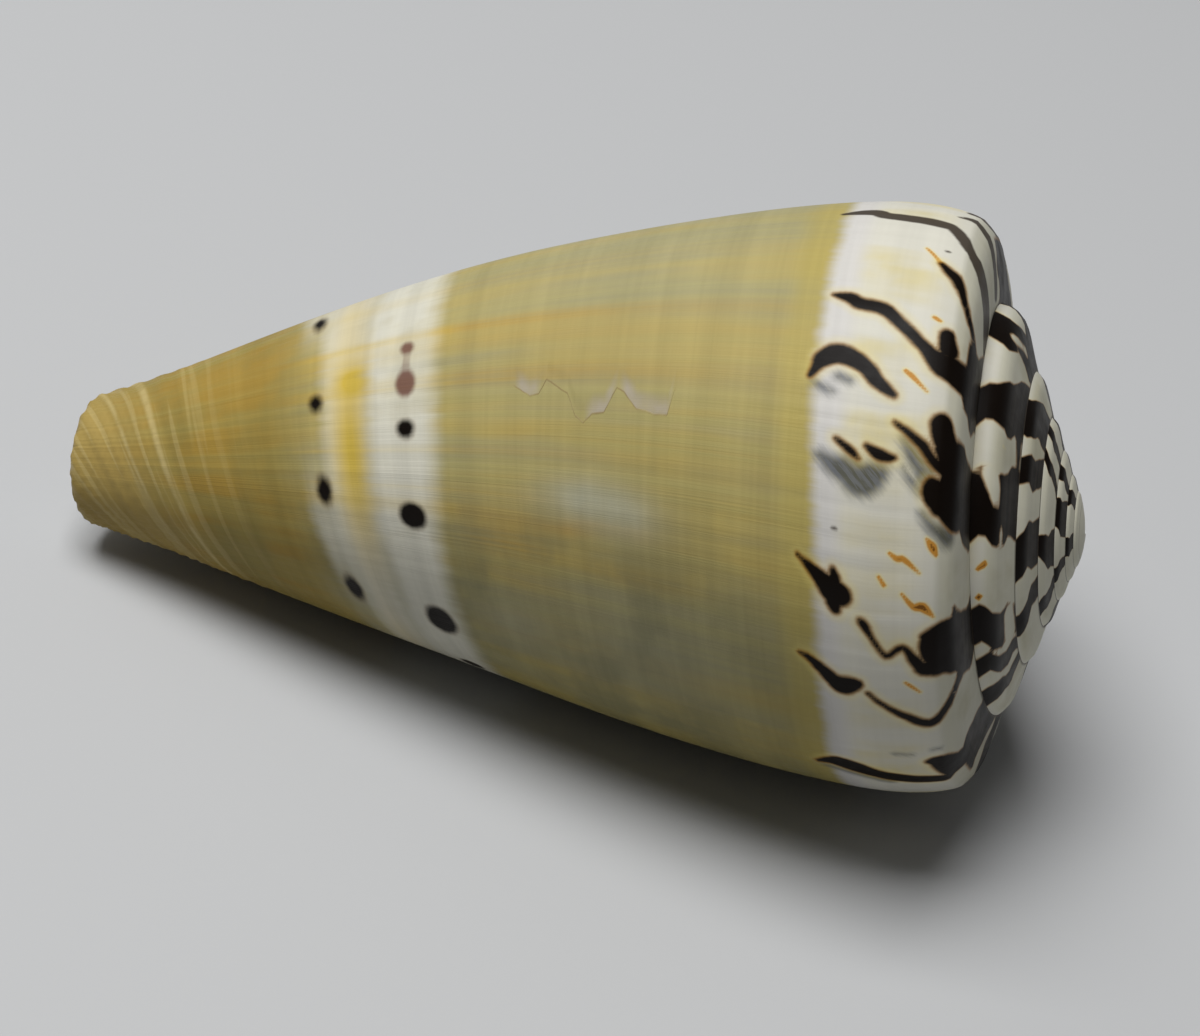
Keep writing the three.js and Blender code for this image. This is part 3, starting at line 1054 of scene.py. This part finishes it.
def shoulderGlaze(t, s):
    # white, butter tinted between the strokes, greyer on the spire
    tint = t.math("MULTIPLY", t.ramp(s.broad, 0.42, 0.68), t.band(s.v, 1.2, 6.2, 1.4))
    tint = t.math("MULTIPLY", tint, t.ramp(s.wash, 0.35, 0.6, 0.4, 1.0))
    top = t.mix(t.math("MULTIPLY", tint, 0.6), tone("white"), tone("butter"))
    top = t.mix(t.ramp(s.v, 5.4, 6.8, 0.0, 0.9), top, tone("lilacWhite"))
    top = t.mix(t.ramp(s.v, -0.6, 0.4, 0.9, 0.0), top, tone("rampWhite"))
    wearAndSheen = t.math("MULTIPLY", t.ramp(s.v, -0.2, -1.2), t.ramp(s.wash, 0.45, 0.7, 0.0, 0.35))
    return t.mix(wearAndSheen, top, tone("greyOlive"))


def shaded(t, s, colour):
    # darker threads, the fine cross lines of the glaze, and painted shade on the lower side
    rings = t.noise(t.stretched(s.u, s.v, 0.004, 0.42, 23), detail=2)
    threads = t.ramp(s.threads, 0.35, 0.65, 0.975, 1.015)
    shade = t.math("MULTIPLY", threads, t.ramp(s.streaks, 0.3, 0.7, 0.98, 1.015))
    shade = t.math("MULTIPLY", shade, t.ramp(rings, 0.35, 0.65, 0.95, 1.04))
    # painted shade: the side facing down is darker, as if turned away from the light, easing back towards
    # the far underside
    below = t.math("MULTIPLY", t.ramp(s.u, 2, -52), t.ramp(s.u, -150, -100))
    below = t.math("MULTIPLY", below, glaze["paintedShadeBelow"])
    shade = t.math("MULTIPLY", shade, t.math("SUBTRACT", 1.0, below))
    change = t.math("MULTIPLY", t.math("SUBTRACT", shade, 1.0), t.ramp(s.v, 5, 10, 0.5, 1.0))
    shade = t.math("ADD", 1.0, change)
    greys = t.add("ShaderNodeCombineXYZ", {"X": shade, "Y": shade, "Z": shade}).outputs[0]
    colour = t.mix(1.0, colour, greys, "MULTIPLY")
    return t.mix(glaze["darker"], colour, (0, 0, 0, 1))


def scarCurve(t, s):
    # the angle of the break at each reach
    span = scar["to"] - scar["from"]
    along = t.ramp(s.v, scar["from"], scar["to"], shape="LINEAR")
    curve = t.add("ShaderNodeFloatCurve", {"Value": along})
    knots = [((reach - scar["from"]) / span, angle / scar["widest"]) for angle, reach in scar["path"]]
    points = curve.mapping.curves[0].points
    points[0].location = (0, knots[0][1])
    points[1].location = (1, knots[-1][1])
    for knot in knots:
        points.new(*knot)
    for point in points:
        point.handle_type = "VECTOR"
    curve.mapping.update()
    return t.math("MULTIPLY", curve.outputs[0], scar["widest"])


def healedBreak(t, s, colour):
    # a painted shadow along the small step at the break's edge, with grey fills beside it, and the dip of
    # the fills for the height
    beside = t.math("MULTIPLY", t.math("SUBTRACT", s.u, scarCurve(t, s)), scar["degree"])
    beside = t.math("ADD", beside, t.swing(s.wobble, 0.3))
    along = t.band(s.v, scar["path"][0][1], scar["path"][-1][1], 0.25)
    fill = 0.0
    for low, high in scar["fills"]:
        fill = t.math("ADD", fill, t.band(s.v, low, high, 0.35), clamp=True)
    sunken = t.math("MULTIPLY", t.ramp(beside, -0.05, 0.12), t.ramp(beside, 1.9, 0.5))
    sunken = t.math("MULTIPLY", sunken, along)
    fill = t.math("MULTIPLY", t.math("MULTIPLY", fill, sunken), t.ramp(s.mottle, 0.3, 0.6, 0.55, 0.95))
    colour = t.mix(fill, colour, tone("scarFill"))
    # painted shadow: a thin dark line where the ragged edge of the fill steps down
    stepShadow = t.math("MULTIPLY", t.band(beside, -0.05, 0.07, 0.1), along)
    stepShadow = t.math("MULTIPLY", stepShadow, t.ramp(s.mottle, 0.3, 0.6, 0.35, 0.85))
    return t.mix(stepShadow, colour, tone("breakStepShadow")), sunken


def smears(t, s, colour):
    drift = t.math("MULTIPLY", s.u, glaze["smearSlant"])
    across = t.math("SUBTRACT", drift, s.v)
    along = t.math("ADD", drift, s.v)
    feather = t.noise(t.stretched(across, along, 2.6, 0.3), detail=3, roughness=0.6)
    veil = t.math("ADD", t.attribute("veil"), t.swing(feather, 0.55))
    veilTone = t.mix(t.ramp(feather, 0.4, 0.6), tone("veil"), tone("veilGreen"))
    return t.mix(t.ramp(veil, 0.45, -0.55, 0.0, 0.88), colour, veilTone)


def markings(t, s, colour):
    # marks, with edges that bleed along the growth lines
    rough = t.math("ADD", t.swing(s.wobble, 0.22), t.swing(s.streaks, 0.12))
    rust = t.math("ADD", t.attribute("rust"), t.math("MULTIPLY", rough, 0.4))
    colour = t.mix(t.ramp(rust, 0.25, 0.0, 0.0, 0.5), colour, tone("butter"))
    colour = t.mix(t.ramp(rust, 0.1, -0.05, 0.0, 0.95), colour, tone("rust"))
    colour = t.mix(t.ramp(rust, -0.1, -0.2, 0.0, 0.85), colour, tone("rustCore"))
    red = t.math("ADD", t.attribute("redInk"), t.math("MULTIPLY", rough, 0.5))
    colour = t.mix(t.ramp(red, 0.15, -0.3, 0.0, 0.85), colour, tone("red"))
    faded = t.math("ADD", t.attribute("faded"), rough)
    colour = t.mix(t.ramp(faded, 0.16, -0.12, 0.0, 0.95), colour, tone("faded"))
    ink = t.math("ADD", t.attribute("ink"), rough)
    halo = t.math("MULTIPLY", t.ramp(ink, 0.8, 0.15, 0.0, 0.3), t.band(s.v, 0, 9, 1.5))
    colour = t.mix(halo, colour, tone("butter"))
    fringe = t.math("MULTIPLY", t.ramp(ink, 0.3, 0.0, 0.0, 0.7), t.ramp(s.v, 10, 20, 1.0, 0.15))
    colour = t.mix(fringe, colour, tone("inkFringe"))
    # spots on the side have softer edges than the strokes above
    edges = {0: t.ramp(s.v, 10, 20), 2: t.ramp(ink, 0.16, -0.15), 3: t.ramp(ink, 0.22, -0.34)}
    inked = t.add("ShaderNodeMix", edges).outputs[0]
    # painted sheen: on the inner half of each ramp the ink turns lighter brown-grey, streaked along the
    # threads, where the shallow ramp catches the light
    wearAndSheen = t.math("MULTIPLY", t.band(s.v, -5.4, -2.2, 0.6), t.ramp(s.threads, 0.35, 0.65, 0.2, 0.7))
    return t.mix(inked, colour, t.mix(wearAndSheen, tone("ink"), tone("rampSheen")))


def glazeHeight(t, s, sunken):
    lines = t.noise(t.stretched(s.u, s.v, 2.4, 0.05, 17), detail=3)
    height = t.math("ADD", t.math("MULTIPLY", s.streaks, 0.3), t.math("MULTIPLY", s.threads, 0.12))
    height = t.math("ADD", height, t.math("MULTIPLY", lines, 0.25))
    height = t.math("MULTIPLY", height, t.ramp(s.v, 6, 9.5, 0.35, 1.0))
    height = t.math("SUBTRACT", height, t.math("MULTIPLY", sunken, 0.9))
    bump = {"Strength": 0.5, "Distance": glaze["bumpDepth"], "Height": height}
    return t.add("ShaderNodeBump", bump).outputs[0]


def glazedPattern():
    t = Tree("glazedPattern")
    s = surfaceOf(t)
    stain = orangeStain(t, s)
    side = t.mix(t.ramp(s.edge, *glaze["baseStart"]), sideGlaze(t, s, stain), baseGlaze(t, s))
    side = whiteBands(t, s, side, stain)
    colour = t.mix(t.ramp(s.edge, *glaze["sideStart"]), shoulderGlaze(t, s), side)
    colour = shaded(t, s, colour)
    colour, sunken = healedBreak(t, s, colour)
    colour = smears(t, s, colour)
    colour = markings(t, s, colour)
    # painted shade: a dark line in the crease where a turn meets the ramp of the next
    seamShade = t.ramp(s.v, -rampArc[-1] + 0.4, -rampArc[-1] + 0.05, 0.0, 0.8)
    colour = t.mix(seamShade, colour, tone("seamCreaseShade"))
    t.set(Base_Color=colour, Roughness=t.ramp(s.mottle, 0.3, 0.7, 0.38, 0.52))
    t.set(Normal=glazeHeight(t, s, sunken))
    t.set(Specular_IOR_Level=0.08, Coat_Weight=0.02, Coat_Roughness=0.25, IOR=1.5)
    return t.material


def mouthPorcelain():
    t = Tree("mouthPorcelain")
    place = t.add("ShaderNodeTexCoord").outputs["Object"]
    cloud = t.noise(place, scale=120, detail=3, dimensions="3D")
    colour = t.mix(t.ramp(cloud, 0.35, 0.7), tone("mouth"), tone("rampWhite"))
    bump = t.add("ShaderNodeBump", {"Strength": 0.3, "Distance": 0.0001, "Height": cloud})
    t.set(Base_Color=colour, Roughness=t.ramp(cloud, 0.3, 0.7, 0.22, 0.34), Normal=bump.outputs[0])
    t.set(Coat_Weight=0.3, Coat_Roughness=0.12, IOR=1.53)
    return t.material


# how the shell lies, and the step from millimetres to the frame's metres
rest = {"roll": -31.65, "tilt": -12.67, "scale": 0.001}


def restMatrix(mesh):
    turned = Matrix.Rotation(radians(rest["tilt"]), 4, "Y") @ Matrix.Rotation(radians(rest["roll"]), 4, "X")
    co = np.empty(len(mesh.vertices) * 3, np.float32)
    mesh.vertices.foreach_get("co", co)
    co = co.reshape(-1, 3) @ np.array(turned.to_3x3()).T * rest["scale"]
    low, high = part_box("cone_shell")
    shift = Vector((
        (low.x + high.x) / 2 - (co[:, 0].min() + co[:, 0].max()) / 2,
        (low.y + high.y) / 2 - (co[:, 1].min() + co[:, 1].max()) / 2,
        low.z - co[:, 2].min(),
    ))
    return Matrix.Translation(shift) @ turned @ Matrix.Scale(rest["scale"], 4)


mesh = growShell()
paint(mesh)
mesh.materials.append(glazedPattern())
mesh.materials.append(mouthPorcelain())
toFrame = restMatrix(mesh)
mesh.transform(toFrame)
coneShell = bpy.data.objects.new("patternedShell", mesh)
bpy.context.scene.collection.objects.link(coneShell)
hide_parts("cone_shell")
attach(coneShell, "root")
print("shell laid down,", len(mesh.polygons), "faces")


studio = {
    "floorSize": 3.0,
    "aim": (-33.98, 0, -1.38),
    "distance": 216,
    "swing": 13.236,
    "roll": 4.219,
    "lens": 93.1,
    "lights": [
        {"name": "windowLight", "place": (-0.5, 0.35, 0.45), "size": 0.6, "power": 0.4},
        {"name": "ceilingLight", "place": (-0.2, -0.05, 0.8), "size": 0.5, "power": 7.4},
    ],
    "air": (0.9, 0.91, 0.92, 1),
    "airStrength": 0.1,
}


def plainFloor():
    bm = bmesh.new()
    bmesh.ops.create_grid(bm, x_segments=1, y_segments=1, size=studio["floorSize"] / 2)
    bmesh.ops.translate(bm, verts=bm.verts, vec=(0, 0, cadBox[0].z))
    floorMesh = bpy.data.meshes.new("studioFloor")
    bm.to_mesh(floorMesh)
    bm.free()
    t = Tree("floorPaper")
    t.set(Base_Color=tone("floorPaper"), Roughness=0.7)
    floorMesh.materials.append(t.material)
    floor = bpy.data.objects.new("studioFloor", floorMesh)
    bpy.context.scene.collection.objects.link(floor)


def softLight(name, place, size, power):
    light = bpy.data.lights.new(name, "AREA")
    light.shape = "RECTANGLE"
    light.size = size
    light.size_y = size
    light.energy = power
    lamp = bpy.data.objects.new(name, light)
    lamp.location = place
    lamp.rotation_euler = (-Vector(place)).to_track_quat("-Z", "Y").to_euler()
    bpy.context.scene.collection.objects.link(lamp)


def softAir():
    world = bpy.data.worlds.new("studioWorld")
    world.use_nodes = True
    background = world.node_tree.nodes["Background"]
    background.inputs["Color"].default_value = studio["air"]
    background.inputs["Strength"].default_value = studio["airStrength"]
    bpy.context.scene.world = world


def camera():
    data = bpy.data.cameras.new("studioCamera")
    data.lens = studio["lens"]
    data.sensor_width = 36
    data.clip_start = 0.01
    eye = bpy.data.objects.new("studioCamera", data)
    place = Matrix.Translation(studio["aim"])
    place = place @ Matrix.Rotation(radians(studio["swing"]), 4, "Z") @ Matrix.Rotation(pi / 2, 4, "X")
    place = place @ Matrix.Rotation(radians(studio["roll"]), 4, "Z")
    place = place @ Matrix.Translation((0, 0, studio["distance"]))
    location, turn, _ = (toFrame @ place).decompose()
    eye.matrix_world = Matrix.LocRotScale(location, turn, None)
    bpy.context.scene.collection.objects.link(eye)
    bpy.context.scene.camera = eye


plainFloor()
for light in studio["lights"]:
    softLight(**light)
softAir()
camera()
bpy.context.scene.view_settings.view_transform = "Standard"
print("studio ready")
